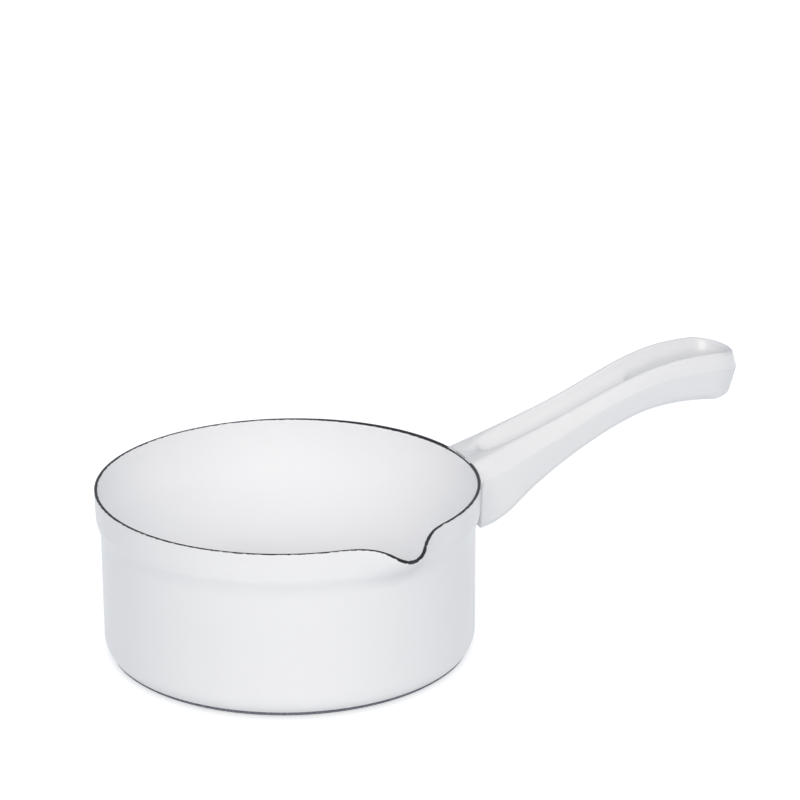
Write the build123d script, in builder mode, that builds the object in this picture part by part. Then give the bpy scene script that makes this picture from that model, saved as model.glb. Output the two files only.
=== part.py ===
# Milk pan in enamelled sheet steel, with a pulled spout and a hollow handle
# Millimetres. The origin is the middle of the base, on the surface that the pan stands on.
# +Z is up, and +X runs from the middle of the pan towards the end of the handle.

import os
from math import cos, radians, sin

from build123d import *

# Bowl
pan_height = 65.0
body_radius = 69.4
wall = 1.2
corner_radius = 8.0
foot_width = 9.4
base_hollow = 0.5

# Rim band, which is wider than the wall, and the soft step that joins it to the wall below
band_swell = 1.9
band_height = 11.5
step_height = 10.5
rim_enamel_height = 0.4

# Spout
spout_bearing = -78.6
spout_half_angle = 18.9
spout_reach = 9.1
spout_tip_radius = 9.3
spout_dip = 5.3
spout_dip_run = 12.0

# Dark coat under the base
coat = 0.4
coat_height = 3.0

# Handle, from its flat end beside the rim to the middle of its round tail
root_gap = 1.7
handle_run = 101.0
handle_half_width = 15.0
handle_lift = 0.7
handle_rise = 29.0
handle_depth = 26.8
upper_depth = 7.0
tail_tilt = -8.0
handle_wall = 1.2
crest_radius = 1.5
crest_width = 1.9
keel_radius = 4.5
heel_radius = 2.5
lip_depth = 2.6

# Trough along the top of the handle, and the hanging slot through its tail
trough_depth = 7.0
slot_start_radius = 7.4
slot_end_radius = 9.0
slot_length = 27.5
slot_draft = 7.0

# Weld beads
seam_bead_height = 1.0
seam_bead_depth = 0.5
seam_bead_proud = 0.2
slot_weld_width = 0.8
root_weld_width = 18.0
root_weld_height = 8.0

# One overrun for every tool that has to pass a face
overrun = 4.0

# Stations along the handle, as shares of its run, with the form of its section at each.
# The first station lies inside the rim, where the handle is trimmed.
station_shares = (-0.08, 0.0, 0.11, 0.23, 0.35, 0.465, 0.58, 0.70, 0.82, 0.91, 1.0)
tilt_shares = (0.0, 0.0, 0.0, 0.0, 0.0, 0.0, 0.0, 0.0, 0.1, 0.45, 1.0)
ridge_width_shares = (1.01, 1.0, 0.95, 0.885, 0.835, 0.80, 0.805, 0.83, 0.865, 0.89, 0.90)
crest_width_shares = (0.88, 0.82, 0.72, 0.645, 0.60, 0.60, 0.635, 0.70, 0.765, 0.80, 0.805)
keel_width_shares = (0.95, 0.93, 0.855, 0.76, 0.68, 0.64, 0.64, 0.655, 0.67, 0.68, 0.685)
rise_shares = (-0.093, 0.0, 0.128, 0.266, 0.41, 0.562, 0.72, 0.865, 0.962, 0.993, 1.0)
depth_shares = (0.97, 1.0, 0.978, 0.843, 0.739, 0.675, 0.642, 0.638, 0.675, 0.698, 0.728)
upper_depth_shares = (0.985, 1.0, 1.045, 0.97, 0.86, 0.785, 0.757, 0.80, 0.871, 0.914, 0.914)
trough_depth_shares = (0.10, 0.14, 0.66, 0.93, 1.0, 1.0, 1.0, 1.0, 1.0, 1.0, 1.0)

# Levels up the rim zone, evenly spaced, with the spout's reach and roundness at each and
# how much of the step from the wall to the rim is taken
spout_reach_shares = (0.0, 0.0, 0.02, 0.16, 0.42, 0.72, 0.97, 1.06, 1.08)
spout_round_shares = (1.0, 1.0, 0.50, 0.24, 0.12, 0.05, 0.0, 0.0, 0.0)
band_swell_shares = (0.0, 0.0, 0.12, 0.58, 0.85, 0.90, 0.93, 0.96, 1.0)

os.makedirs("parts", exist_ok=True)

rim_radius = body_radius + band_swell
foot_radius = body_radius - corner_radius - foot_width
rim_zone = band_height + step_height
rim_zone_level = pan_height - rim_zone
root_plane = rim_radius + root_gap
lip_level = pan_height - lip_depth
spout_x = cos(radians(spout_bearing))
spout_y = sin(radians(spout_bearing))


# Bowl forms

def wall_section(height, radius, reach, tip_radius):
    """The pan's outline at one level: a circle with the spout pulled out of it."""
    angle = radians(spout_half_angle)
    leave = Vector(radius * cos(angle), radius * sin(angle))
    if reach > 0:
        # The flank is the arc that leaves the circle and meets the tip's arc without a corner.
        tip_centre = Vector(radius + reach - tip_radius, 0)
        inward = tip_centre.X * cos(angle)
        spread = radius**2 - 2 * radius * inward + tip_centre.X**2 - tip_radius**2
        flank_radius = spread / (2 * (radius - inward - tip_radius))
        flank_centre = leave * ((radius - flank_radius) / radius)
        join = tip_centre + (flank_centre - tip_centre) * (tip_radius / (tip_radius - flank_radius))
        chord = (leave + join) / 2 - flank_centre
        flank_middle = flank_centre + chord.normalized() * abs(flank_radius)
    else:
        join = Vector(radius * cos(angle / 2), radius * sin(angle / 2))
        flank_middle = Vector(radius * cos(angle * 3 / 4), radius * sin(angle * 3 / 4))
    tip = Vector(radius + reach, 0)
    spout_plane = Plane((0, 0, height), x_dir=(spout_x, spout_y, 0), z_dir=(0, 0, 1))
    with BuildSketch(spout_plane) as section:
        with BuildLine():
            ThreePointArc(leave, (-radius, 0), (leave.X, -leave.Y))
            ThreePointArc((leave.X, -leave.Y), (flank_middle.X, -flank_middle.Y), (join.X, -join.Y))
            ThreePointArc((join.X, -join.Y), tip, join)
            ThreePointArc(join, flank_middle, leave)
        make_face()
    return section.sketch


def lower_bowl(inset):
    """The bowl below the rim zone as a filled solid, set in from its outside by a thickness."""
    floor = coat + inset
    side = body_radius - inset
    corner = corner_radius - inset
    hollow_middle = (foot_radius / 2, floor + base_hollow * 3 / 4)
    with BuildPart() as form:
        with BuildSketch(Plane.XZ):
            with BuildLine():
                ThreePointArc((0, floor + base_hollow), hollow_middle, (foot_radius, floor))
                Line((foot_radius, floor), (side - corner, floor))
                CenterArc((side - corner, floor + corner), corner, -90, 90)
                Line((side, floor + corner), (side, rim_zone_level))
                Line((side, rim_zone_level), (0, rim_zone_level))
                Line((0, rim_zone_level), (0, floor + base_hollow))
            make_face()
        revolve(axis=Axis.Z)
    return form.part


def bowl_form(inset):
    """The whole bowl as a filled solid, with its rim band and spout."""
    rise = rim_zone / (len(band_swell_shares) - 1)
    sections = []
    tables = zip(spout_reach_shares, spout_round_shares, band_swell_shares)
    for level, (reach, rounding, swell) in enumerate(tables):
        height = rim_zone_level + rise * level
        radius = body_radius + band_swell * swell - inset
        tip_radius = spout_tip_radius + (body_radius - spout_tip_radius) * rounding - inset
        sections.append(wall_section(height, radius, spout_reach * reach, tip_radius))
    with BuildPart() as form:
        add(lower_bowl(inset))
        loft(sections)
    return form.part


def above_rim(drop):
    """Everything above the rim's edge, which runs level and dips at the spout."""
    side_plane = Plane((0, 0, 0), x_dir=(spout_x, spout_y, 0), z_dir=(spout_y, -spout_x, 0))
    level = pan_height - drop
    start = rim_radius + spout_reach - spout_dip_run
    arc_radius = (spout_dip_run**2 + spout_dip**2) / (2 * spout_dip)
    reach = rim_radius + spout_reach + overrun
    fall = arc_radius - (arc_radius**2 - (reach - start) ** 2) ** 0.5
    half = (reach - start) / 2
    half_fall = arc_radius - (arc_radius**2 - half**2) ** 0.5
    with BuildPart() as tool:
        with BuildSketch(side_plane):
            with BuildLine():
                ThreePointArc((start, level), (start + half, level - half_fall), (reach, level - fall))
                Line((reach, level - fall), (reach, level + overrun * 2))
                Line((reach, level + overrun * 2), (-reach, level + overrun * 2))
                Line((-reach, level + overrun * 2), (-reach, level))
                Line((-reach, level), (start, level))
            make_face()
        extrude(amount=rim_radius + overrun, both=True)
    return tool.part


# Handle forms

def station_plane(index):
    """The plane of a section, with its origin on the ridge line in the handle's middle."""
    crest_level = pan_height + handle_lift + handle_rise * rise_shares[index]
    ridge_level = crest_level - upper_depth * upper_depth_shares[index]
    tilt = radians(tail_tilt * tilt_shares[index])
    distance = root_plane + handle_run * station_shares[index]
    return Plane((distance, 0, ridge_level), x_dir=(0, 1, 0), z_dir=(cos(tilt), 0, sin(tilt)))


def handle_section(index, inset):
    """The handle's outline: crests above, ridges at the sides and a rounded keel below."""
    ridge = handle_half_width * ridge_width_shares[index]
    crest = handle_half_width * crest_width_shares[index]
    keel = handle_half_width * keel_width_shares[index]
    top = upper_depth * upper_depth_shares[index]
    bottom = top - handle_depth * depth_shares[index]
    corners = ((ridge, 0), (crest, top), (-crest, top), (-ridge, 0), (-keel, bottom), (keel, bottom))
    radii = (0, crest_radius, crest_radius, 0, keel_radius, keel_radius)
    with BuildSketch(station_plane(index)) as section:
        with BuildLine():
            FilletPolyline(*corners, radius=radii, close=True)
        make_face()
        if inset > 0:
            offset(amount=-inset, mode=Mode.REPLACE)
    return section.sketch


def trough_section(index):
    """The trough that is cut along the top of the handle, open above."""
    top = upper_depth * upper_depth_shares[index]
    reach = handle_half_width * crest_width_shares[index] - crest_width
    depth = trough_depth * trough_depth_shares[index]
    with BuildSketch(station_plane(index)) as section:
        with BuildLine():
            ThreePointArc((-reach, top), (0, top - depth), (reach, top))
            Polyline((reach, top), (reach, top + overrun), (-reach, top + overrun), (-reach, top))
        make_face()
    return section.sketch


def liner_section(index):
    """The sheet under the trough, as a solid that the trough is then cut from."""
    top = upper_depth * upper_depth_shares[index]
    reach = handle_half_width * crest_width_shares[index] - crest_width + handle_wall
    depth = trough_depth * trough_depth_shares[index] + handle_wall
    with BuildSketch(station_plane(index)) as section:
        with BuildLine():
            ThreePointArc((-reach, top), (0, top - depth), (reach, top))
            Line((reach, top), (-reach, top))
        make_face()
        with Locations((0, top)):
            Rectangle(handle_half_width * 2, handle_wall, mode=Mode.SUBTRACT)
    return section.sketch


def seam_section(index):
    """The weld bead on one ridge, dressed to a narrow flat outside."""
    ridge = handle_half_width * ridge_width_shares[index]
    back = ridge - seam_bead_depth
    front = ridge + seam_bead_proud
    top = seam_bead_height / 2
    with BuildSketch(station_plane(index)) as section:
        with BuildLine():
            Polyline((back, -top), (front, -top / 2), (front, top / 2), (back, top), (back, -top))
        make_face()
    return section.sketch


def along_handle(sections, turned):
    """Loft the sections from the pan to the tail, and turn the given half round the tail."""
    tail_plane = station_plane(len(station_shares) - 1)
    with BuildPart() as form:
        loft(sections)
        revolve(turned, axis=Axis(tail_plane.origin, -tail_plane.y_dir), revolution_arc=180)
    return form.part


def whole_handle(sections):
    """A form whose sections span the handle's whole width."""
    return along_handle(sections, split(sections[-1], bisect_by=Plane.ZX, keep=Keep.TOP))


def above_parting():
    """Everything above the parting line between the two shells, seen from the side."""
    stations = range(len(station_shares))
    ridges = [station_plane(index).origin for index in stations]
    tail = station_plane(len(station_shares) - 1)
    end = tail.origin + tail.z_dir * handle_run
    top_level = pan_height + handle_rise + handle_depth
    with BuildPart() as form:
        with BuildSketch(Plane.XZ):
            with BuildLine():
                points = [(ridge.X, ridge.Z) for ridge in ridges]
                start = (ridges[1].X - ridges[0].X, ridges[1].Z - ridges[0].Z)
                Spline(*points, tangents=(start, (tail.z_dir.X, tail.z_dir.Z)))
                Polyline(points[-1], (end.X, end.Z), (end.X, top_level))
                Polyline((end.X, top_level), (points[0][0], top_level), points[0])
            make_face()
        extrude(amount=handle_half_width * 2, both=True)
    return form.part


def underside_level(index):
    """The height of the handle's underside at one station."""
    crest_level = pan_height + handle_lift + handle_rise * rise_shares[index]
    return crest_level - handle_depth * depth_shares[index]


def inside_rim():
    """What the handle is trimmed by: the rim, and below its lip the flat end with its round heel."""
    run = handle_run * (station_shares[2] - station_shares[0])
    slope = (underside_level(2) - underside_level(0)) / run
    heel = (root_plane, underside_level(1))
    ahead = heel_radius * 3
    sole = (root_plane + ahead, heel[1] + ahead * slope)
    with BuildPart() as form:
        Cylinder(rim_radius, pan_height * 3)
        with BuildSketch(Plane.XZ):
            with BuildLine():
                FilletPolyline((root_plane, lip_level), heel, sole, radius=heel_radius)
                Polyline(sole, (sole[0], 0), (0, 0), (0, lip_level), (root_plane, lip_level))
            make_face()
        extrude(amount=handle_half_width * 2, both=True)
    return form.part


def slot_form(extra):
    """The hanging slot as a solid that narrows downwards, made larger by a thickness."""
    top_level = pan_height + handle_lift + handle_rise + overrun
    tail = root_plane + handle_run
    with BuildPart() as form:
        with BuildSketch(Plane.XY.offset(top_level)):
            with Locations((tail - slot_length, 0)):
                Circle(slot_start_radius + extra)
            with Locations((tail, 0)):
                Circle(slot_end_radius + extra)
            make_hull()
        extrude(amount=-(handle_depth + overrun * 2), taper=slot_draft)
    return form.part


stations = range(len(station_shares))
pan_outside = bowl_form(0)
pan_shell = pan_outside - bowl_form(wall)
handle_outside = whole_handle([handle_section(index, 0) for index in stations])
handle_inside = whole_handle([handle_section(index, handle_wall) for index in stations])
trough = whole_handle([trough_section(index) for index in stations])
trough_liner = whole_handle([liner_section(index) for index in stations])
seam_sections = [seam_section(index) for index in stations]
upper_side = above_parting()
root_trim = inside_rim()


# Pan body: one deep-drawn sheet, with the rim band, the step below it and the spout
with BuildPart() as pan_body:
    add(pan_shell)
    add(above_rim(rim_enamel_height), mode=Mode.SUBTRACT)
pan_body.part.label = "pan_body"
export_step(pan_body.part, "parts/pan_body.step")

# Rim enamel: the dark edge that follows the rim and dips round the spout
with BuildPart() as rim_enamel:
    add(pan_shell)
    add(above_rim(rim_enamel_height), mode=Mode.INTERSECT)
    add(above_rim(0), mode=Mode.SUBTRACT)
rim_enamel.part.label = "rim_enamel"
export_step(rim_enamel.part, "parts/rim_enamel.step")

# Base enamel: the dark coat under the base, which turns up round the corner
with BuildPart() as base_enamel:
    add(lower_bowl(-coat))
    add(lower_bowl(0), mode=Mode.SUBTRACT)
    split(bisect_by=Plane.XY.offset(coat_height), keep=Keep.BOTTOM)
base_enamel.part.label = "base_enamel"
export_step(base_enamel.part, "parts/base_enamel.step")

# Handle seam weld: one bead along both ridges and round the tail
with BuildPart() as handle_seam_weld:
    add(along_handle(seam_sections, seam_sections[-1]))
    loft([mirror(section, about=Plane.XZ, mode=Mode.PRIVATE) for section in seam_sections])
    add(root_trim, mode=Mode.SUBTRACT)
handle_seam_weld.part.label = "handle_seam_weld"
export_step(handle_seam_weld.part, "parts/handle_seam_weld.step")

# Hollow of the handle, which stops short of its closed end beside the rim
with BuildPart() as handle_hollow:
    add(handle_inside)
    split(bisect_by=Plane.YZ.offset(root_plane + handle_wall), keep=Keep.TOP)

# Upper shell: facets, crests, trough and the collar of the hanging slot in one pressing
with BuildPart() as handle_upper_shell:
    add(handle_outside)
    add(handle_hollow.part, mode=Mode.SUBTRACT)
    add(upper_side, mode=Mode.INTERSECT)
    add(trough_liner)
    add(slot_form(handle_wall) & handle_outside)
    add(trough, mode=Mode.SUBTRACT)
    add(slot_form(0), mode=Mode.SUBTRACT)
    add(root_trim, mode=Mode.SUBTRACT)
    add(handle_seam_weld.part, mode=Mode.SUBTRACT)
handle_upper_shell.part.label = "handle_upper_shell"
export_step(handle_upper_shell.part, "parts/handle_upper_shell.step")

# Lower shell: the boat-shaped pressing below the ridges, pierced for the collar of the slot
with BuildPart() as handle_lower_shell:
    add(handle_outside)
    add(handle_hollow.part, mode=Mode.SUBTRACT)
    add(upper_side, mode=Mode.SUBTRACT)
    add(slot_form(handle_wall + slot_weld_width), mode=Mode.SUBTRACT)
    add(root_trim, mode=Mode.SUBTRACT)
    add(handle_seam_weld.part, mode=Mode.SUBTRACT)
handle_lower_shell.part.label = "handle_lower_shell"
export_step(handle_lower_shell.part, "parts/handle_lower_shell.step")

# Slot weld: the bead between the collar and the lower shell, flush with its underside
with BuildPart() as slot_weld:
    add(handle_outside)
    add(handle_hollow.part, mode=Mode.SUBTRACT)
    add(upper_side, mode=Mode.SUBTRACT)
    add(slot_form(handle_wall + slot_weld_width), mode=Mode.INTERSECT)
    add(slot_form(handle_wall), mode=Mode.SUBTRACT)
slot_weld.part.label = "slot_weld"
export_step(slot_weld.part, "parts/slot_weld.step")

# Root weld: the run of weld between the rim band and the flat end of the handle
with BuildPart() as root_weld:
    with Locations((rim_radius, 0, lip_level - root_weld_height / 2)):
        Box(root_gap * 2, root_weld_width, root_weld_height)
    add(pan_outside, mode=Mode.SUBTRACT)
root_weld.part.label = "root_weld"
export_step(root_weld.part, "parts/root_weld.step")
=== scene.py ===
# Milk pan in white enamelled sheet steel, with a black rim, a dark base coat and a hollow handle

from math import acos, atan2, cos, degrees, hypot, pi, radians, sin, sqrt, tan

import bmesh
import bpy
from mathutils import Matrix, Vector


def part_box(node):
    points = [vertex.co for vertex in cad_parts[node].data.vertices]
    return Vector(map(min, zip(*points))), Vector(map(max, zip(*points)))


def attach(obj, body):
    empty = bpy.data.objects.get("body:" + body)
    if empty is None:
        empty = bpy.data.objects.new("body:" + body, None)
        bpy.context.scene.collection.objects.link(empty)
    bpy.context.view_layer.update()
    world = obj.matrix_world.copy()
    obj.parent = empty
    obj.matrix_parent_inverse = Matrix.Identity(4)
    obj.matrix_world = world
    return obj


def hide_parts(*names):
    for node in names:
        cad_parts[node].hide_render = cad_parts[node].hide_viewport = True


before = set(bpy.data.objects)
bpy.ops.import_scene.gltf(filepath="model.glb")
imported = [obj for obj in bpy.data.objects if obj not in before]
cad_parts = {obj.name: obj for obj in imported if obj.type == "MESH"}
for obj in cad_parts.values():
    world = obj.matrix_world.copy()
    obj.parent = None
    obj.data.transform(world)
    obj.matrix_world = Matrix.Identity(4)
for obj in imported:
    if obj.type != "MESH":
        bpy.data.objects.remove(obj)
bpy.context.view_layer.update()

MM = 0.001

# Sizes read from the frame
pan_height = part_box("rim_enamel")[1].z
rim_cap_proud = 0.03 * MM
rim_radius = -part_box("rim_enamel")[0].x - rim_cap_proud

# Bowl sizes
body_radius = 69.4 * MM
wall = 1.2 * MM
corner_radius = 8.0 * MM
foot_radius = 52.0 * MM
base_hollow = 0.5 * MM
coat = 0.4 * MM
coat_height = 3.0 * MM
rim_zone = 22.0 * MM
spout_bearing = radians(-78.6)
spout_half_angle = radians(18.9)
spout_reach = 9.1 * MM
spout_tip_radius = 9.3 * MM
spout_dip = 5.3 * MM
spout_dip_run = 12.0 * MM
rim_cap_height = 0.4 * MM
dip_start_depth = 14.0 * MM
edging_run = 0.7 * MM
edging_bearing = radians(15.0)
edging_spread = radians(80.0)

# Levels up the rim zone, evenly spaced: the spout's reach and roundness, and the step's swell
spout_reach_shares = (0.0, 0.0, 0.02, 0.16, 0.42, 0.72, 0.97, 1.06, 1.08)
spout_round_shares = (1.0, 1.0, 0.50, 0.24, 0.12, 0.05, 0.0, 0.0, 0.0)
band_swell_shares = (0.0, 0.0, 0.06, 0.38, 0.84, 0.93, 0.95, 0.97, 1.0)
inside_swell_shares = (0.0, 0.10, 0.26, 0.47, 0.67, 0.82, 0.92, 0.97, 1.0)
level_places = [level / (len(band_swell_shares) - 1) for level in range(len(band_swell_shares))]

# The middle of the round corner between the base and the wall, as (radius, height)
corner_centre = (body_radius - corner_radius, coat + corner_radius)

# Numbers of steps along the bowl's profiles and round its axis
SPIN_STEPS = 288
FLOOR_STEPS = 24
CORNER_STEPS = 14
WALL_STEPS = 90
COAT_STEPS = 10
CAP_STEPS = 16
wall_crowding = 0.8

# How close points count as one: in a piece, across its middle, in a spun profile, and at the slot's wall
MERGE = 1e-6
MIDDLE_MERGE = 2e-6
TINY = 1e-7
TOUCHING = 1e-9


# Smooth values between the entries of a share table

def table_value(places, shares, at):
    """A smooth curve through the shares at their places, read at one place."""
    last = len(places) - 1
    at = min(max(at, places[0]), places[last])
    index = 0
    while index < last - 1 and at > places[index + 1]:
        index += 1
    low, high = places[index], places[index + 1]
    width = high - low
    slopes = []
    for corner in (index, index + 1):
        before, after = max(corner - 1, 0), min(corner + 1, last)
        slopes.append((shares[after] - shares[before]) / (places[after] - places[before]))
    share = (at - low) / width
    square, cube = share**2, share**3
    start = (2 * cube - 3 * square + 1) * shares[index] + (cube - 2 * square + share) * width * slopes[0]
    end = (3 * square - 2 * cube) * shares[index + 1] + (cube - square) * width * slopes[1]
    return start + end


# Bowl surfaces

def arc_points(centre, radius, start, end, count):
    """Points along an arc in the plane of a profile, angles in degrees."""
    turns = [radians(start + (end - start) * step / count) for step in range(count + 1)]
    return [(centre[0] + radius * cos(turn), centre[1] + radius * sin(turn)) for turn in turns]


def swollen_radius(place, swells):
    """The wall's radius at a place up the rim zone, by a table of the step's swell."""
    return body_radius + (rim_radius - body_radius) * table_value(level_places, swells, place)


def rim_form(height):
    """The wall's radius, spout reach and spout tip radius at one height."""
    place = (height - pan_height + rim_zone) / rim_zone
    radius = swollen_radius(place, band_swell_shares)
    reach = spout_reach * max(0.0, table_value(level_places, spout_reach_shares, place))
    rounding = max(0.0, table_value(level_places, spout_round_shares, place))
    return radius, reach, spout_tip_radius + (body_radius - spout_tip_radius) * rounding


def outline_radius(turn, height, inset):
    """The wall's distance from the axis at an angle from the spout's middle."""
    radius, reach, tip_radius = rim_form(height)
    radius, tip_radius = radius - inset, tip_radius - inset
    turn = abs((turn + pi) % (2 * pi) - pi)
    if turn >= spout_half_angle or reach <= 0:
        return radius
    tip_centre = radius + reach - tip_radius
    inward = tip_centre * cos(spout_half_angle)
    spread = radius**2 - 2 * radius * inward + tip_centre**2 - tip_radius**2
    flank_radius = spread / (2 * (radius - inward - tip_radius))
    flank = Vector((cos(spout_half_angle), sin(spout_half_angle))) * (radius - flank_radius)
    centre = Vector((tip_centre, 0))
    join = centre + (flank - centre) * (tip_radius / (tip_radius - flank_radius))
    if turn <= atan2(join.y, join.x):
        return tip_centre * cos(turn) + sqrt(tip_radius**2 - (tip_centre * sin(turn)) ** 2)
    along = flank.x * cos(turn) + flank.y * sin(turn)
    aside = flank.x * sin(turn) - flank.y * cos(turn)
    side = 1 if flank_radius > 0 else -1
    return along + side * sqrt(flank_radius**2 - aside**2)


def rim_dip(distance):
    """How far the rim's edge lies below the level rim, at a distance along the spout's middle."""
    start = rim_radius + spout_reach - spout_dip_run
    arc_radius = (spout_dip_run**2 + spout_dip**2) / (2 * spout_dip)
    past = min(max(distance - start, 0.0), arc_radius)
    return arc_radius - sqrt(arc_radius**2 - past**2)


def spin_profile(points, closed):
    """Turn a profile of (radius, height) points round the pan's axis."""
    bm = bmesh.new()
    corners = [bm.verts.new((radius, 0, height)) for radius, height in points]
    edges = [bm.edges.new(pair) for pair in zip(corners, corners[1:])]
    if closed:
        edges.append(bm.edges.new((corners[-1], corners[0])))
    bmesh.ops.spin(bm, geom=corners + edges, axis=(0, 0, 1), cent=(0, 0, 0), steps=SPIN_STEPS,
                   angle=2 * pi, use_merge=True)
    bmesh.ops.remove_doubles(bm, verts=bm.verts, dist=TINY)
    bmesh.ops.recalc_face_normals(bm, faces=bm.faces)
    return bm


def edging_extra(bearing):
    """How much further down the black edging runs on the inside, which is most near the handle."""
    away = min(abs(bearing - edging_bearing) / edging_spread, 1.0)
    return edging_run * cos(pi / 2 * away) ** 2


def shape_rim(bm):
    """Pull the spout out of a spun wall and let its rim dip there."""
    depth = bm.verts.layers.float.new("below_rim")
    dip_level = pan_height - dip_start_depth
    for vert in bm.verts:
        height = vert.co.z
        vert[depth] = pan_height - height
        if height <= pan_height - rim_zone:
            continue
        bearing = atan2(vert.co.y, vert.co.x)
        turn = bearing - spout_bearing
        inset = rim_form(height)[0] - hypot(vert.co.x, vert.co.y)
        if inset > wall / 2:
            vert[depth] -= edging_extra(bearing)
        edge = outline_radius(turn, pan_height, inset) * cos(turn)
        share = min(max((height - dip_level) / (dip_start_depth - rim_cap_height), 0.0), 1.0)
        height -= rim_dip(edge) * share
        radius = outline_radius(turn, height, inset)
        vert.co = (radius * cos(bearing), radius * sin(bearing), height)


def placed(name, data, matrix):
    """Put a mesh, a lamp or a camera into the scene."""
    holder = bpy.data.objects.new(name, data)
    bpy.context.scene.collection.objects.link(holder)
    holder.matrix_world = matrix
    return holder


def filled_mesh(name, bm, material):
    """A mesh with one material, made from a bmesh that isn't needed any more."""
    mesh = bpy.data.meshes.new(name)
    bm.to_mesh(mesh)
    bm.free()
    mesh.materials.append(material)
    return mesh


def finished(name, bm, material, replaced):
    """Make a bmesh a smooth piece of the part that stands for its CAD nodes."""
    mesh = filled_mesh(name, bm, material)
    mesh.shade_smooth()
    piece = placed(name, mesh, Matrix.Identity(4))
    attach(piece, "root")
    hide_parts(*replaced)
    return piece


def floor_points(rise):
    """The base from the axis to the corner, raised by a thickness."""
    points = []
    hollow_radius = (foot_radius**2 + base_hollow**2) / (2 * base_hollow)
    for step in range(FLOOR_STEPS + 1):
        radius = foot_radius * step / FLOOR_STEPS
        sag = hollow_radius - sqrt(hollow_radius**2 - radius**2)
        points.append((radius, coat + rise + base_hollow - sag))
    return points


def wall_points(inset):
    """The wall from the corner to the rim's edge, set in from its outside; the step is softer inside."""
    start, stop = coat + corner_radius, pan_height - rim_cap_height / 2
    swells = inside_swell_shares if inset else band_swell_shares
    points = []
    for step in range(1, WALL_STEPS + 1):
        height = start + (stop - start) * (step / WALL_STEPS) ** wall_crowding
        place = (height - pan_height + rim_zone) / rim_zone
        points.append((swollen_radius(place, swells) - inset, height))
    return points


def bowl_side(inset):
    """One side of the sheet, from the middle of the base to the rim's edge."""
    bend = arc_points(corner_centre, corner_radius - inset, -90, 0, CORNER_STEPS)
    return floor_points(inset) + bend + wall_points(inset)


# Materials

class Socket:
    """A shader output that plain arithmetic can be written on."""

    def __init__(self, tree, output):
        self.tree, self.output = tree, output

    def _maths(self, operation, *values):
        return self.tree.make("ShaderNodeMath", {"operation": operation}, dict(enumerate(values)))

    def __add__(self, other):
        return self._maths("ADD", self, other)

    __radd__ = __add__

    def __mul__(self, other):
        return self._maths("MULTIPLY", self, other)

    __rmul__ = __mul__

    def least(self, other):
        """The smaller of two values."""
        return self._maths("MINIMUM", self, other)

    def above(self, limit, softness):
        """0 below the limit and 1 above it, with a soft change."""
        settings = {"interpolation_type": "SMOOTHSTEP"}
        return self.tree.make("ShaderNodeMapRange", settings,
                              {0: self, 1: limit - softness, 2: limit + softness})


class Finish:
    """One material, made of nodes."""

    def __init__(self, name):
        self.material = bpy.data.materials.new(name)
        self.material.use_nodes = True
        self.nodes = self.material.node_tree.nodes
        self.links = self.material.node_tree.links
        self.shader = self.nodes["Principled BSDF"]

    def make(self, kind, settings, sockets, output=0):
        """Add a node with its settings, then its values and links."""
        node = self.nodes.new(kind)
        for name, value in settings.items():
            setattr(node, name, value)
        for name, value in sockets.items():
            self.join(value, node.inputs[name])
        return Socket(self, node.outputs[output])

    def join(self, value, socket):
        """Link an output to a socket, or set the socket to a plain value."""
        if isinstance(value, Socket):
            self.links.new(value.output, socket)
        else:
            socket.default_value = value

    def surface(self, **sockets):
        """Fill the shader's sockets, and hand over the finished material."""
        for name, value in sockets.items():
            self.join(value, self.shader.inputs[name.replace("_", " ")])
        return self.material

    def place(self):
        """The point on the object, in metres."""
        return self.make("ShaderNodeTexCoord", {}, {}, "Object")

    def noise(self, place, scale, detail):
        """Soft noise with so many features in a metre."""
        settings, sockets = {"noise_dimensions": "3D"}, {"Vector": place, "Scale": scale, "Detail": detail}
        return self.make("ShaderNodeTexNoise", settings, sockets)

    def blend(self, share, low, high):
        """Mix two colours by a share; the node's colour sockets are 6 and 7, and its colour output is 2."""
        settings = {"data_type": "RGBA"}
        return self.make("ShaderNodeMix", settings, {"Factor": share, 6: low, 7: high}, 2)

    def bump(self, height, strength, distance):
        """A normal that follows a height."""
        sockets = {"Strength": strength, "Distance": distance, "Height": height}
        return self.make("ShaderNodeBump", {}, sockets)


def colour(red, green, blue):
    """A colour from its values on screen, 0 to 255, by the sRGB curve."""
    def linear(value):
        share = value / 255
        return share / 12.92 if share <= 0.04045 else ((share + 0.055) / 1.055) ** 2.4
    return linear(red), linear(green), linear(blue), 1.0


white = colour(246, 246, 247)
white_shade = colour(242, 243, 245)
black = colour(26, 27, 32)
ground_coat = colour(88, 93, 104)
ground_speckle = colour(122, 127, 138)
enamel_roughness = 0.3
base_roughness = 0.34
glaze_weight = 0.2
glaze_roughness = 0.12

# Noise sizes, as features in a metre, and what each noise does
fine_detail = 3.0
cloud_scale = 22.0
cloud_detail = 2.0
cloud_roughness = 0.06
wave_scale = 90.0
wave_detail = 1.0
wave_height = 0.2 * MM
wave_strength = 0.1
speckle_scale = 1400.0
speckle_limit = 0.56
speckle_softness = 0.06
speckle_roughness = 0.2
speckle_height = 0.06 * MM
speckle_strength = 0.2
ragged_scale = 620.0
ragged_depth = 0.5 * MM
ragged_roughness = 0.15
edging_depth = 0.44 * MM
edging_softness = 0.04 * MM


def black_edge(finish):
    """0 on the black edging and 1 on the white below it, and the noise that makes its edge ragged."""
    depth = finish.make("ShaderNodeAttribute", {"attribute_name": "below_rim"}, {}, "Fac")
    ragged = finish.noise(finish.place(), ragged_scale, fine_detail)
    return (depth + ragged_depth * ragged).above(edging_depth, edging_softness), ragged


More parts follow.
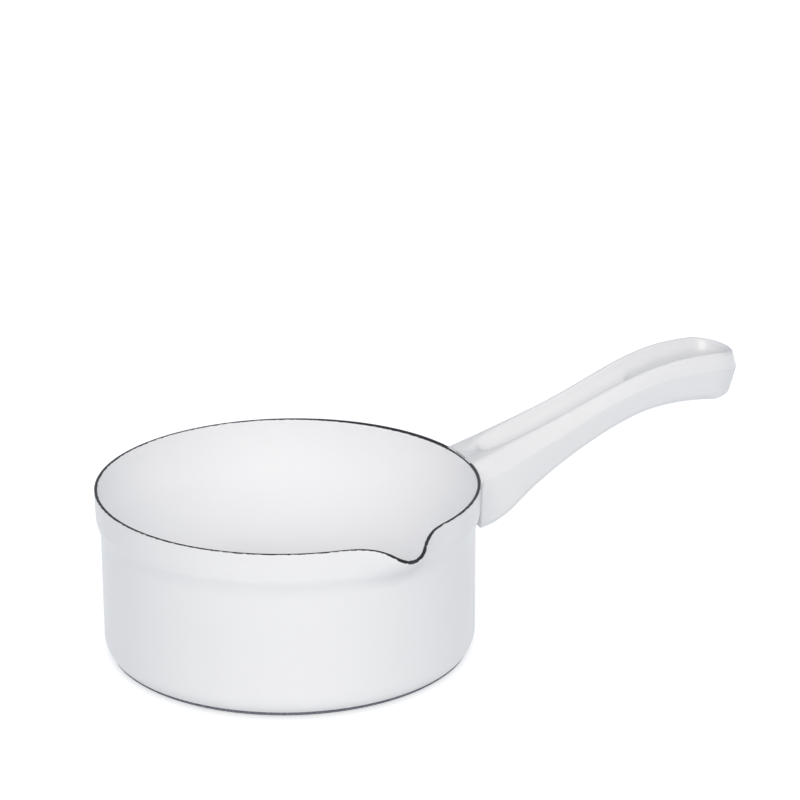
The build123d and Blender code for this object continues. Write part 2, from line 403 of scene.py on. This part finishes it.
def white_enamel(name, edged=False):
    """Glossy white enamel, faintly wavy and cloudy, with the black edging where that is asked for."""
    finish = Finish(name)
    place = finish.place()
    clouds = finish.noise(place, cloud_scale, cloud_detail)
    waves = finish.noise(place, wave_scale, wave_detail)
    tone = finish.blend(clouds, white, white_shade)
    if edged:
        tone = finish.blend(black_edge(finish)[0], black, tone)
    return finish.surface(
        Base_Color=tone,
        Roughness=enamel_roughness + cloud_roughness * clouds,
        Coat_Weight=glaze_weight,
        Coat_Roughness=glaze_roughness,
        Normal=finish.bump(waves, wave_strength, wave_height),
    )


def rim_black():
    """Black edging that the white breaks into here and there."""
    finish = Finish("rim_black")
    edge, ragged = black_edge(finish)
    return finish.surface(
        Base_Color=finish.blend(edge, black, white),
        Roughness=enamel_roughness + ragged_roughness * ragged,
        Coat_Weight=glaze_weight,
    )


def base_dark():
    """The dark ground coat under the base, speckled and a little duller than the white."""
    finish = Finish("base_dark")
    speckle = finish.noise(finish.place(), speckle_scale, fine_detail)
    flecks = speckle.above(speckle_limit, speckle_softness)
    return finish.surface(
        Base_Color=finish.blend(flecks, ground_coat, ground_speckle),
        Roughness=base_roughness + speckle_roughness * speckle,
        Normal=finish.bump(speckle, speckle_strength, speckle_height),
    )


enamel = white_enamel("white_enamel")
bowl_finish = white_enamel("bowl_white", edged=True)
rim_finish = rim_black()
base_finish = base_dark()


# Bowl pieces

def make_bowl():
    """The sheet-steel bowl with its spout."""
    bm = spin_profile(bowl_side(0.0) + bowl_side(wall)[::-1], False)
    shape_rim(bm)
    finished("enamelled_bowl", bm, bowl_finish, ["pan_body"])


def make_rim():
    """The rounded black edging over the sheet's top edge."""
    middle = rim_radius - wall / 2
    half = wall / 2 + rim_cap_proud
    bottom = pan_height - rim_cap_height
    points = []
    for step in range(CAP_STEPS + 1):
        turn = pi * step / CAP_STEPS
        points.append((middle + half * cos(turn), bottom + rim_cap_height * sin(turn)))
    bm = spin_profile(points, True)
    shape_rim(bm)
    finished("black_rim", bm, rim_finish, ["rim_enamel"])


def make_base():
    """The dark coat, which thins out to nothing where it ends on the corner."""
    hollow = floor_points(0.0)
    top = -90 + degrees(acos(1 - (coat_height - coat) / corner_radius))
    inside = arc_points(corner_centre, corner_radius, -90, top, COAT_STEPS)
    outside = arc_points(corner_centre, corner_radius + coat, -90, top, COAT_STEPS)
    outside[-1] = inside[-1]
    under = [(radius, height - coat) for radius, height in hollow]
    bm = spin_profile(under + outside + inside[::-1][1:] + hollow[::-1], False)
    finished("dark_base", bm, base_finish, ["base_enamel"])


make_bowl()
make_rim()
make_base()


# Handle sizes
root_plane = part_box("handle_lower_shell")[0].x
handle_run = 101.0 * MM
handle_half_width = 15.0 * MM
handle_lift = 0.7 * MM
handle_rise = 29.0 * MM
handle_depth = 26.8 * MM
upper_depth = 7.0 * MM
tail_tilt = radians(-8.0)
crest_radius = 1.5 * MM
shoulder_radius = 4.2 * MM
shoulder_run_share = 0.34
ridge_radius = 1.6 * MM
keel_radius = 4.5 * MM
trough_depth = 7.0 * MM
tail_lean = 1.6 * MM
tail_heel = 2.0 * MM
spoon_start = 3.4 * MM
spoon_length = 10.0 * MM
spoon_half_width = 9.6 * MM
spoon_run_out = 26.0 * MM
spoon_slope_share = 0.55
spoon_widening = 0.4
shelf_share = 0.05
end_radius = 1.1 * MM
plain_start = 4.5 * end_radius
gap_fill = 0.6 * MM
heel_radius = 1.4 * MM
lip_level = pan_height - 5.4 * MM
lip_blend = 1.2 * MM
lip_bite = 0.1 * MM
lip_sharpness = 0.85
sheet_thickness = 1.0 * MM

# Hanging slot sizes
slot_start_radius = 7.4 * MM
slot_end_radius = 9.0 * MM
slot_length = 27.5 * MM
slot_start = root_plane + handle_run - slot_length
slot_search = (0.4, 0.95)
slot_draft = radians(7.0)
slot_top_level = pan_height + handle_lift + handle_rise + 4.0 * MM
slot_rounding = 1.7 * MM
lip_room_share = 0.12
collar_rounding = 0.5 * MM
collar_edge = 1.3 * MM
weld_middle = 1.6 * MM
weld_half_width = 0.6 * MM
weld_half_height = 0.35 * MM
lower_edge = 1.8 * MM
bead_radius = 0.5 * MM
bead_depth = 0.44 * MM

# Numbers of steps along the handle: to the slot, near it, round its start, beside it and round the tail
RUN_STEPS = 46
APPROACH_STEPS = 14
START_STEPS = 16
BESIDE_STEPS = 20
TAIL_STEPS = 28
slot_approach = 4.0 * MM

# Numbers of steps across its sections
CREST_STEPS = 12
FACET_STEPS = 8
RIDGE_STEPS = 10
SIDE_STEPS = 9
TROUGH_STEPS = 18
LIP_STEPS = 10
UNDERSIDE_STEPS = 26
COLLAR_STEPS = 10
COLLAR_EDGE_STEPS = 5
END_STEPS = 7
TUBE_STEPS = 12
LAP_STEPS = 90
UPPER_JOIN_COLUMNS = 3
LOWER_JOIN_COLUMNS = 2
end_wall_shares = (0.0, 0.35, 0.7)

# How often a search halves its range or repeats
HALVINGS = 26
UNDERSIDE_ROUNDS = 5
FOOT_ROUNDS = 4

# How far along a quarter circle a round edge is followed before it gets too steep
KEEL_REACH = 0.99
HEEL_REACH = 0.999

# Stations along the handle, as shares of its run, with the form of its section at each
station_shares = (-0.08, 0.0, 0.11, 0.23, 0.35, 0.465, 0.58, 0.70, 0.82, 0.91, 1.0)
tilt_shares = (0.0, 0.0, 0.0, 0.0, 0.0, 0.0, 0.0, 0.0, 0.1, 0.45, 1.0)
ridge_width_shares = (1.01, 1.0, 0.95, 0.885, 0.835, 0.80, 0.805, 0.83, 0.865, 0.89, 0.90)
crest_width_shares = (0.88, 0.82, 0.72, 0.645, 0.60, 0.60, 0.635, 0.70, 0.765, 0.80, 0.805)
keel_width_shares = (0.95, 0.93, 0.855, 0.76, 0.68, 0.64, 0.64, 0.655, 0.67, 0.68, 0.685)
rise_shares = (-0.093, 0.0, 0.128, 0.266, 0.41, 0.562, 0.72, 0.865, 0.962, 0.993, 1.0)
depth_shares = (0.80, 1.015, 1.026, 0.858, 0.739, 0.675, 0.642, 0.638, 0.675, 0.698, 0.728)
upper_depth_shares = (0.985, 1.0, 1.045, 0.97, 0.86, 0.785, 0.757, 0.80, 0.871, 0.914, 0.914)
trough_depth_shares = (0.55, 0.60, 0.82, 0.97, 1.0, 1.0, 1.0, 1.0, 1.0, 1.0, 1.0)


# Handle surfaces

def smooth(share):
    """A share kept between 0 and 1, with a soft start and end."""
    share = min(max(share, 0.0), 1.0)
    return share * share * (3 - 2 * share)


def turned_arc(centre, radius, start, end, count):
    """Points (aside, rise) along an arc of a section, angles in radians."""
    turns = [start + (end - start) * step / count for step in range(count + 1)]
    return [(centre[0] + radius * cos(turn), centre[1] + radius * sin(turn)) for turn in turns]


class Section:
    """One half section of the handle, at a share of its run and a turn round its tail."""

    def __init__(self, share, turn=0.0):
        def read(shares):
            return table_value(station_shares, shares, share)

        tilt = tail_tilt * read(tilt_shares)
        forward = Vector((cos(tilt), 0, sin(tilt)))
        self.upward = Vector((-sin(tilt), 0, cos(tilt)))
        self.sideways = Vector((0, cos(turn), 0)) + forward * sin(turn)
        self.top = upper_depth * read(upper_depth_shares)
        crest_level = pan_height + handle_lift + handle_rise * read(rise_shares)
        self.origin = Vector((root_plane + handle_run * share, 0, crest_level - self.top))
        self.ridge = handle_half_width * read(ridge_width_shares)
        self.crest = handle_half_width * read(crest_width_shares) - tail_lean * sin(turn) ** 2
        self.keel = handle_half_width * read(keel_width_shares) + tail_heel * sin(turn) ** 2
        self.bottom = self.top - handle_depth * read(depth_shares)
        depth = trough_depth * read(trough_depth_shares)
        soft = 1 - share / shoulder_run_share
        rounding = self.rounding = crest_radius + (shoulder_radius - crest_radius) * smooth(soft)

        # The crest's round edge touches the facet outside it and the trough inside it.
        lean = (self.ridge - self.crest) / self.top
        self.facet_turn = atan2(lean, 1)
        self.crest_aside = self.crest + lean * rounding - rounding * sqrt(1 + lean**2)
        self.crest_rise = self.top - rounding
        step = depth - rounding
        self.trough_radius = (self.crest_aside**2 + step**2 - rounding**2) / (2 * depth)
        self.trough_rise = self.top - depth + self.trough_radius
        self.trough_turn = atan2(self.crest_aside, self.trough_rise - self.crest_rise)

        # The keel's round corner touches the side and the flat underside.
        self.side_turn = atan2(self.ridge - self.keel, -self.bottom)
        self.flat = self.keel - keel_radius * tan(pi / 4 - self.side_turn / 2)
        self.keel_start = Vector((self.flat + keel_radius * cos(self.side_turn),
                                  self.bottom + keel_radius - keel_radius * sin(self.side_turn)))
        self.keel_length = keel_radius * (pi / 2 - self.side_turn)

    def point(self, aside, rise):
        """A point of the section in space."""
        return self.origin + self.sideways * aside + self.upward * rise

    def trough(self, share):
        """A point of the trough, from its middle at 0 to the crest at 1."""
        turn = self.trough_turn * share
        radius = self.trough_radius
        return radius * sin(turn), self.trough_rise - radius * cos(turn)

    def underside(self, share):
        """A point of the underside, from its middle at 0 to the foot of the side at 1."""
        run = (self.flat + self.keel_length) * share
        if run <= self.flat:
            return run, self.bottom
        turn = (run - self.flat) / keel_radius
        return self.flat + keel_radius * sin(turn), self.bottom + keel_radius * (1 - cos(turn))

    def upper_edge(self):
        """The crest, the facet and the upper half of the round ridge."""
        start = atan2(self.trough_rise - self.crest_rise, -self.crest_aside)
        centre = (self.crest_aside, self.crest_rise)
        points = turned_arc(centre, self.rounding, start, self.facet_turn, CREST_STEPS)
        arc = self.round_ridge()
        first, last = Vector(points[-1]), Vector(arc[0])
        points += [tuple(first.lerp(last, step / FACET_STEPS)) for step in range(1, FACET_STEPS)]
        return points + arc[:RIDGE_STEPS // 2 + 1]

    def round_ridge(self):
        """The round ridge, from the facet to the side."""
        turn = self.facet_turn + self.side_turn
        inward = ridge_radius / cos(turn / 2)
        middle = (self.facet_turn - self.side_turn) / 2
        centre = (self.ridge - inward * cos(middle), -inward * sin(middle))
        return turned_arc(centre, ridge_radius, self.facet_turn, -self.side_turn, RIDGE_STEPS)

    def lower_edge(self):
        """The lower half of the round ridge, and the side down to the keel."""
        arc = self.round_ridge()
        first, last = Vector(arc[-1]), self.keel_start
        side = [tuple(first.lerp(last, step / SIDE_STEPS)) for step in range(1, SIDE_STEPS)]
        return arc[RIDGE_STEPS // 2:] + side


def slot_radii(height):
    """The slot's radii at its two ends, at one height."""
    narrowing = (slot_top_level - height) * tan(slot_draft)
    return slot_start_radius - narrowing, slot_end_radius - narrowing


def slot_frame(place):
    """Where a point lies beside the slot: from its start, along its straight side, and that side's lean."""
    start, end = slot_radii(place.z)
    lean = (end - start) / slot_length
    ahead, aside = place.x - slot_start, abs(place.y)
    along = ahead * sqrt(1 - lean**2) + aside * lean
    return ahead, aside, along, lean, start, end


def slot_distance(place):
    """How far a point lies outside the slot's wall; inside the slot it is negative."""
    ahead, aside, along, lean, start, end = slot_frame(place)
    if along <= 0:
        return hypot(ahead, aside) - start
    if along >= slot_length * sqrt(1 - lean**2):
        return hypot(ahead - slot_length, aside) - end
    return aside * sqrt(1 - lean**2) - ahead * lean - start


def slot_lap(place):
    """How far round the slot a point on its wall lies: 0 at its start, 3 at the tail."""
    ahead, aside, along, lean, start, end = slot_frame(place)
    bend = acos(lean)
    if along <= 0:
        return atan2(aside, -ahead) / bend
    length = slot_length * sqrt(1 - lean**2)
    if along < length:
        return 1 + along / length
    return 2 + (atan2(aside, slot_length - ahead) - bend) / (pi - bend)


def slot_edge(lap, height, outset):
    """A point beside the slot's wall in plan, at a lap, a height and a distance from the wall."""
    start, end = slot_radii(height)
    lean = (end - start) / slot_length
    bend = acos(lean)
    near, far = Vector((slot_start, 0)), Vector((slot_start + slot_length, 0))
    if lap <= 1:
        return near + Vector((-cos(lap * bend), sin(lap * bend))) * (start + outset)
    if lap < 2:
        normal = Vector((-lean, sqrt(1 - lean**2)))
        return (near + normal * (start + outset)).lerp(far + normal * (end + outset), lap - 1)
    turn = bend + (lap - 2) * (pi - bend)
    return far + Vector((-cos(turn), sin(turn))) * (end + outset)


def underside_point(plan):
    """The point of the handle's underside over a point in plan."""
    share, turn, aside = (plan.x - root_plane) / handle_run, 0.0, plan.y
    for _ in range(UNDERSIDE_ROUNDS):
        section = Section(min(share, 1.0), turn)
        rise = section.bottom
        if aside > section.flat:
            past = min(aside - section.flat, keel_radius * KEEL_REACH)
            rise += keel_radius - sqrt(keel_radius**2 - past**2)
        shift = section.upward.x * rise
        share = (plan.x - shift - root_plane) / handle_run
        if share > 1:
            ahead = plan.x - shift - root_plane - handle_run
            turn, aside = atan2(ahead, plan.y), hypot(ahead, plan.y)
    return section.point(aside, rise)


def slot_foot(lap):
    """The height of the underside where the slot comes out, at one lap."""
    height = pan_height
    for _ in range(FOOT_ROUNDS):
        height = underside_point(slot_edge(lap, height, 0)).z
    return height


def share_where(section, path, distance):
    """How far along a path from the middle the slot's wall is a given distance away."""
    if slot_distance(section.point(*path(0))) >= distance:
        return 0.0
    low, high = 0.0, 1.0
    for _ in range(HALVINGS):
        middle = (low + high) / 2
        if slot_distance(section.point(*path(middle))) < distance:
            low = middle
        else:
            high = middle
    return high


def slot_tip(path, distance):
    """The share of the run where the middle of a path first comes that near the slot."""
    low, high = slot_search
    for _ in range(HALVINGS):
        middle = (low + high) / 2
        section = Section(middle)
        if slot_distance(section.point(*path(section, 0))) > distance:
            low = middle
        else:
            high = middle
    return high


def handle_stations(tip, first):
    """Sections from the pan to the tail: closer together where they meet the slot's round start."""
    approach, bend = slot_approach / handle_run, slot_start_radius / handle_run

    def quarter(step, count):
        return pi / 2 * step / count

    shares = [first + (tip - approach - first) * step / RUN_STEPS for step in range(RUN_STEPS)]
    shares += [tip - approach * (1 - sin(quarter(step, APPROACH_STEPS))) for step in range(APPROACH_STEPS)]
    shares += [tip + bend * (1 - cos(quarter(step, START_STEPS))) for step in range(START_STEPS)]
    shares += [tip + bend + (1 - tip - bend) * step / BESIDE_STEPS for step in range(BESIDE_STEPS)]
    tail = [Section(1.0, quarter(step, TAIL_STEPS)) for step in range(TAIL_STEPS + 1)]
    return [Section(share) for share in shares] + tail


def lip_drop(distance):
    """How far the round lip of the slot lies below the trough."""
    inside = min(max(slot_rounding - distance, 0.0), slot_rounding)
    return slot_rounding - sqrt(slot_rounding**2 - inside**2)


def spoon_share(place):
    """How much of the trough's depth is reached near its round end beside the pan."""
    ahead = place.x - root_plane - spoon_start
    wider = 1 + spoon_widening * max(ahead - spoon_length, 0) / spoon_run_out
    half_width = spoon_half_width * wider
    inside = 1 - hypot(min(ahead / spoon_length - 1, 0), place.y / half_width)
    share = smooth(inside / spoon_slope_share)
    past = smooth((ahead - spoon_length) / spoon_run_out)
    return shelf_share + (1 - shelf_share) * (share + (1 - share) * past)


def sunk(section, aside, rise):
    """A point of the trough or of the crest's inner edge, raised where the trough has its round end."""
    share = spoon_share(section.point(aside, rise))
    return section.point(aside, section.top - (section.top - rise) * share)


def trough_column(section):
    """The trough from the crest to the slot's lip, or to the middle where there is no slot."""
    edge = share_where(section, section.trough, 0.0)
    lip = max(share_where(section, section.trough, slot_rounding), edge + lip_room_share)
    shares = [1 + (lip - 1) * step / TROUGH_STEPS for step in range(1, TROUGH_STEPS + 1)]
    for step in range(1, LIP_STEPS + 1):
        if edge == 0:
            shares.append(lip * (1 - step / LIP_STEPS))
        elif step == LIP_STEPS:
            shares.append(edge)
        else:
            distance = slot_rounding * (1 - sin(pi / 2 * step / LIP_STEPS))
            shares.append(share_where(section, section.trough, distance))
    points = []
    for share in shares:
        place = sunk(section, *section.trough(share))
        drop = lip_drop(slot_distance(place))
        points.append(place - Vector((0, 0, drop)))
    return points, section.point(*section.trough(edge))


def lower_column(section):
    """The underside from the side's foot to the weld round the slot, or to the middle."""
    edge = share_where(section, section.underside, lower_edge)
    shares = [1 + (edge - 1) * step / UNDERSIDE_STEPS for step in range(UNDERSIDE_STEPS + 1)]
    return [section.point(*section.underside(share)) for share in shares]


def end_shape(height):
    """1 where the handle's end belongs to its upper lip, 0 where it belongs to the flat end below."""
    return smooth((height - lip_level + lip_blend / 2) / lip_blend)


def heel_offset(height):
    """How far the round heel stands back from the handle's end."""
    root = Section(0.0)
    middle = root.point(0, root.bottom).z + heel_radius
    below = min(max(middle - height, 0.0), heel_radius * HEEL_REACH)
    return heel_radius - sqrt(heel_radius**2 - below**2)


def rounded_end(outline):
    """Columns that round off the handle's end, and let its upper lip run on to the rim."""
    first = Section(end_radius / handle_run)
    flat = [Vector(point) for point in outline(first)]
    columns = []
    for step in range(END_STEPS + 1):
        theta = pi / 2 * (1 - step / END_STEPS)
        column = []
        for index, (aside, rise) in enumerate(flat):
            ahead, behind = flat[min(index + 1, len(flat) - 1)], flat[max(index - 1, 0)]
            tangent = (behind - ahead).normalized()
            height = first.point(aside, rise).z
            lip = end_shape(height)
            radius = end_radius * (1 - lip_sharpness * lip)
            rim = sqrt((rim_radius - lip_bite) ** 2 - aside**2)
            end = root_plane - gap_fill + heel_offset(height)
            end += (rim - end) * lip
            section = Section((end + radius * (1 - sin(theta)) - root_plane) / handle_run)
            here = Vector(outline(section)[index])
            here -= Vector((tangent.y, -tangent.x)) * radius * (1 - cos(theta))
            column.append(section.point(max(here.x, 0.0), here.y))
        columns.append(column)
    return columns


def between(first, last, count):
    """Columns that run evenly from one column to another, without its ends."""
    steps = [step / (count + 1) for step in range(1, count + 1)]
    return [[near.lerp(far, share) for near, far in zip(first, last)] for share in steps]


def grid_sheet(bm, columns):
    """A sheet of quads through the columns, made from a plain grid."""
    across, along = len(columns) - 1, len(columns[0]) - 1
    grid = bmesh.ops.create_grid(bm, x_segments=across, y_segments=along, size=0.5)
    for vert in grid["verts"]:
        column, row = round((vert.co.x + 0.5) * across), round((vert.co.y + 0.5) * along)
        vert.co = columns[column][row]


def both_halves(bm):
    """Mirror the half across the handle's middle, join the halves and tidy the mesh."""
    bmesh.ops.remove_doubles(bm, verts=bm.verts, dist=MERGE)
    bmesh.ops.mirror(bm, geom=bm.verts[:] + bm.edges[:] + bm.faces[:], matrix=Matrix.Identity(4),
                     merge_dist=MERGE, axis="Y")
    bmesh.ops.remove_doubles(bm, verts=bm.verts, dist=MIDDLE_MERGE)
    bmesh.ops.dissolve_degenerate(bm, dist=TINY, edges=bm.edges)
    bmesh.ops.recalc_face_normals(bm, faces=bm.faces)


def face_outwards(bm, upward):
    """Turn an open sheet so that its topmost or lowest face looks away from the handle."""
    side = 1 if upward else -1
    outermost = max(bm.faces, key=lambda face: side * face.calc_center_median().z)
    if (outermost.normal.z > 0) != upward:
        bmesh.ops.reverse_faces(bm, faces=bm.faces)


def give_thickness(piece):
    """The sheet's thickness, inwards from the shaped face."""
    solid = piece.modifiers.new("sheet", "SOLIDIFY")
    solid.thickness = sheet_thickness
    solid.offset = -1


# Handle pieces

def upper_edge_points(section):
    """The facet and the crest, whose inner half follows the trough's round end."""
    points = []
    for aside, rise in section.upper_edge()[::-1]:
        outside = aside > section.crest_aside
        points.append(section.point(aside, rise) if outside else sunk(section, aside, rise))
    return points


def upper_outline(section):
    """The upper shell's half outline from the ridge to the middle of the trough."""
    count = TROUGH_STEPS + LIP_STEPS
    inner = [section.trough(1 - step / count) for step in range(1, count + 1)]
    outline = []
    for aside, rise in section.upper_edge()[::-1] + inner:
        if aside <= section.crest_aside:
            rise = section.top - (section.top - rise) * spoon_share(section.point(aside, rise))
        outline.append((aside, rise))
    return outline


def make_upper_shell():
    """The upper pressing, with the trough, the slot's round lip and the collar down to the underside."""
    tip = slot_tip(Section.trough, 0.0)
    columns, wall_columns = [], []
    for section in handle_stations(tip, plain_start / handle_run):
        edge = upper_edge_points(section)
        trough, wall_top = trough_column(section)
        columns.append(edge + trough)
        if slot_distance(section.point(*section.trough(0))) < TOUCHING:
            wall_columns.append(collar_column(wall_top, trough[-1]))
    end = rounded_end(upper_outline)
    bm = bmesh.new()
    grid_sheet(bm, end + between(end[-1], columns[0], UPPER_JOIN_COLUMNS) + columns)
    grid_sheet(bm, wall_columns)
    both_halves(bm)
    face_outwards(bm, True)
    give_thickness(finished("handle_upper", bm, enamel, ["handle_upper_shell"]))


def collar_column(wall_top, lip):
    """The collar's inner wall at one lap, and the round edge that it ends in on the underside."""
    lap = slot_lap(wall_top)
    foot = slot_foot(lap)

    def near_foot(outset, rise):
        return underside_point(slot_edge(lap, foot, outset)) + Vector((0, 0, rise))

    bottom = near_foot(0, collar_rounding)
    column = [lip.lerp(bottom, step / COLLAR_STEPS) for step in range(COLLAR_STEPS + 1)]
    for step in range(1, COLLAR_EDGE_STEPS + 1):
        theta = pi / 2 * step / COLLAR_EDGE_STEPS
        column.append(near_foot(collar_rounding * (1 - cos(theta)), collar_rounding * (1 - sin(theta))))
    return column + [near_foot(collar_edge, 0)]


def lower_outline(section):
    """The lower shell's half outline from the ridge to the middle of the underside."""
    below = [section.underside(1 - step / UNDERSIDE_STEPS) for step in range(UNDERSIDE_STEPS + 1)]
    return section.lower_edge() + below


def make_lower_shell():
    """The boat-shaped lower pressing, closed by a flat wall at its end beside the pan."""
    tip = slot_tip(Section.underside, lower_edge)
    columns = []
    for section in handle_stations(tip, plain_start / handle_run):
        edge = [section.point(*point) for point in section.lower_edge()]
        columns.append(edge + lower_column(section))
    end = rounded_end(lower_outline)
    middle = Vector((end[0][0].x, 0, end[0][0].z))
    wall_columns = [[middle.lerp(point, share) for point in end[0]] for share in end_wall_shares]
    bm = bmesh.new()
    grid_sheet(bm, wall_columns + end + between(end[-1], columns[0], LOWER_JOIN_COLUMNS) + columns)
    both_halves(bm)
    face_outwards(bm, False)
    give_thickness(finished("handle_lower", bm, enamel, ["handle_lower_shell"]))


def tube_columns(middles, shape):
    """Columns round a bead whose section is given by a function of the place and an angle."""
    turns = [2 * pi * step / TUBE_STEPS for step in range(TUBE_STEPS + 1)]
    return [[shape(middle, turn) for turn in turns] for middle in middles]


def make_seam_bead():
    """The bead along the ridges, which hardly stands out of the enamel, closed at its end beside the pan."""
    sections = handle_stations(slot_tip(Section.trough, 0.0), end_radius / handle_run)

    def shape(section, turn):
        aside, rise = section.round_ridge()[RIDGE_STEPS // 2]
        return section.point(aside - bead_depth + bead_radius * cos(turn), rise + bead_radius * sin(turn))

    columns = tube_columns(sections, shape)
    centre = sum(columns[0][:-1], Vector()) / (len(columns[0]) - 1)
    bm = bmesh.new()
    grid_sheet(bm, [[centre] * len(columns[0])] + columns)
    both_halves(bm)
    finished("seam_bead", bm, enamel, ["handle_seam_weld"])


def make_slot_bead():
    """The bead that joins the collar to the lower shell, on the underside."""
    laps = [3 * step / LAP_STEPS for step in range(LAP_STEPS + 1)]

    def shape(lap, turn):
        plan = slot_edge(lap, slot_foot(lap), weld_middle + weld_half_width * cos(turn))
        return underside_point(plan) + Vector((0, 0, weld_half_height * sin(turn)))

    bm = bmesh.new()
    grid_sheet(bm, tube_columns(laps, shape))
    both_halves(bm)
    finished("slot_bead", bm, enamel, ["slot_weld"])


make_upper_shell()
make_lower_shell()
make_seam_bead()
make_slot_bead()
root_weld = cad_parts["root_weld"]
root_weld.data.materials.clear()
root_weld.data.materials.append(enamel)


# Stage: a white floor, soft lamps and the camera
floor_size = 6.0
floor_colour = (0.75, 0.78, 0.81, 1.0)
shadow_white = 0.6
shadow_reach = 0.45
shadow_fade = 0.2
floor_roughness = 0.9
plain_black = (0.0, 0.0, 0.0, 1.0)
plain_white = (1.0, 1.0, 1.0, 1.0)
world_colour = (0.89, 0.925, 1.0, 1.0)
world_strength = 0.45
soft_box_target = (0.04, 0, 0.04)
key_tint = (1.0, 0.95, 0.88)
lamp_tint = (1.0, 0.98, 0.94)
glow_tint = (1.0, 1.0, 1.0)
bowl_lamp_fade = 0.35
bowl_lamp_softness = 0.12
camera_place = Vector((-0.3859, -0.9688, 0.458))
camera_view = Vector((0.3843, 0.8632, -0.3274))
camera_lens = 135.7
camera_sensor = 36.0
camera_nearest = 0.01
camera_roll = radians(-0.18)


def stage_white():
    """A floor that glows white when it is seen, less near the pan, where its shadow is to show."""
    finish = Finish("stage_white")
    seen = finish.make("ShaderNodeLightPath", {}, {}, "Is Camera Ray")
    mirrored = finish.make("ShaderNodeLightPath", {}, {}, "Is Glossy Ray")
    passed = finish.make("ShaderNodeLightPath", {}, {}, "Is Transmission Ray")
    length = {"operation": "LENGTH"}
    distance = finish.make("ShaderNodeVectorMath", length, {0: finish.place()}, "Value")
    share = shadow_white + (1 - shadow_white) * distance.above(shadow_reach, shadow_fade)
    glow = (seen + mirrored + passed).least(1.0) * share
    return finish.surface(
        Base_Color=floor_colour,
        Roughness=floor_roughness,
        Emission_Color=finish.blend(glow, plain_black, plain_white),
        Emission_Strength=1.0,
    )


def looking(place, towards):
    """The matrix of a lamp or a camera at a place that looks in a direction."""
    return Matrix.Translation(place) @ towards.to_track_quat("-Z", "Y").to_matrix().to_4x4()


def make_floor():
    """The floor that the pan stands on."""
    bm = bmesh.new()
    bmesh.ops.create_grid(bm, x_segments=1, y_segments=1, size=floor_size)
    placed("floor", filled_mesh("floor", bm, stage_white()), Matrix.Identity(4))


def make_world():
    """Soft light from all round, which is white where the camera looks past the floor."""
    world = bpy.data.worlds.new("studio")
    bpy.context.scene.world = world
    world.use_nodes = True
    nodes, links = world.node_tree.nodes, world.node_tree.links
    light = nodes["Background"]
    light.inputs["Color"].default_value = world_colour
    light.inputs["Strength"].default_value = world_strength
    backdrop = nodes.new("ShaderNodeBackground")
    backdrop.inputs["Color"].default_value = plain_white
    seen, mixed = nodes.new("ShaderNodeLightPath"), nodes.new("ShaderNodeMixShader")
    links.new(seen.outputs["Is Camera Ray"], mixed.inputs[0])
    links.new(light.outputs[0], mixed.inputs[1])
    links.new(backdrop.outputs[0], mixed.inputs[2])
    links.new(mixed.outputs[0], nodes["World Output"].inputs["Surface"])


def make_lamp(name, kind, watts, tint, matrix, **settings):
    """A lamp with its power, its colour, its place and what else its kind has."""
    lamp = bpy.data.lights.new(name, kind)
    lamp.energy = watts
    lamp.color = tint
    for setting, value in settings.items():
        setattr(lamp, setting, value)
    return placed(name, lamp, matrix)


def add_soft_box(name, place, size, watts, tint):
    """A square soft box that faces the pan."""
    matrix = looking(place, Vector(soft_box_target) - Vector(place))
    make_lamp(name, "AREA", watts, tint, matrix, shape="SQUARE", size=size)


def add_bowl_lamp(name, place, watts, tint):
    """A narrow soft lamp above the pan, which lights its inside."""
    towards = Vector((0, 0, pan_height)) - Vector(place)
    lamp = make_lamp(name, "SPOT", watts, tint, looking(place, towards), spot_blend=bowl_lamp_fade,
                     spot_size=2 * atan2(rim_radius, towards.length), shadow_soft_size=bowl_lamp_softness)
    lamp.visible_glossy = False


def add_bowl_glow(name, watts, tint):
    """A round lamp on the bowl's floor that stands for the light which the white floor throws at the wall."""
    matrix = Matrix.Translation((0, 0, corner_radius)) @ Matrix.Rotation(pi, 4, "X")
    lamp = make_lamp(name, "AREA", watts, tint, matrix, shape="DISK", size=2 * foot_radius)
    lamp.visible_camera = False
    lamp.visible_glossy = False


def make_camera():
    """The camera that was fitted to the photograph."""
    lens = bpy.data.cameras.new("camera")
    lens.lens = camera_lens
    lens.sensor_width = camera_sensor
    lens.clip_start = camera_nearest
    matrix = looking(camera_place, camera_view) @ Matrix.Rotation(camera_roll, 4, "Z")
    bpy.context.scene.camera = placed("camera", lens, matrix)


make_floor()
make_world()
make_camera()
add_soft_box("key", place=(-0.74, -1.86, 1.0), size=1.3, watts=23.5, tint=key_tint)
add_soft_box("overhead", place=(0.3, 0.1, 1.8), size=2.4, watts=6.0, tint=lamp_tint)
add_bowl_lamp("bowl_light", place=(-0.3, -0.75, 1.1), watts=6.0, tint=lamp_tint)
add_bowl_glow("bowl_glow", watts=0.0145, tint=glow_tint)
bpy.context.scene.view_settings.view_transform = "Standard"
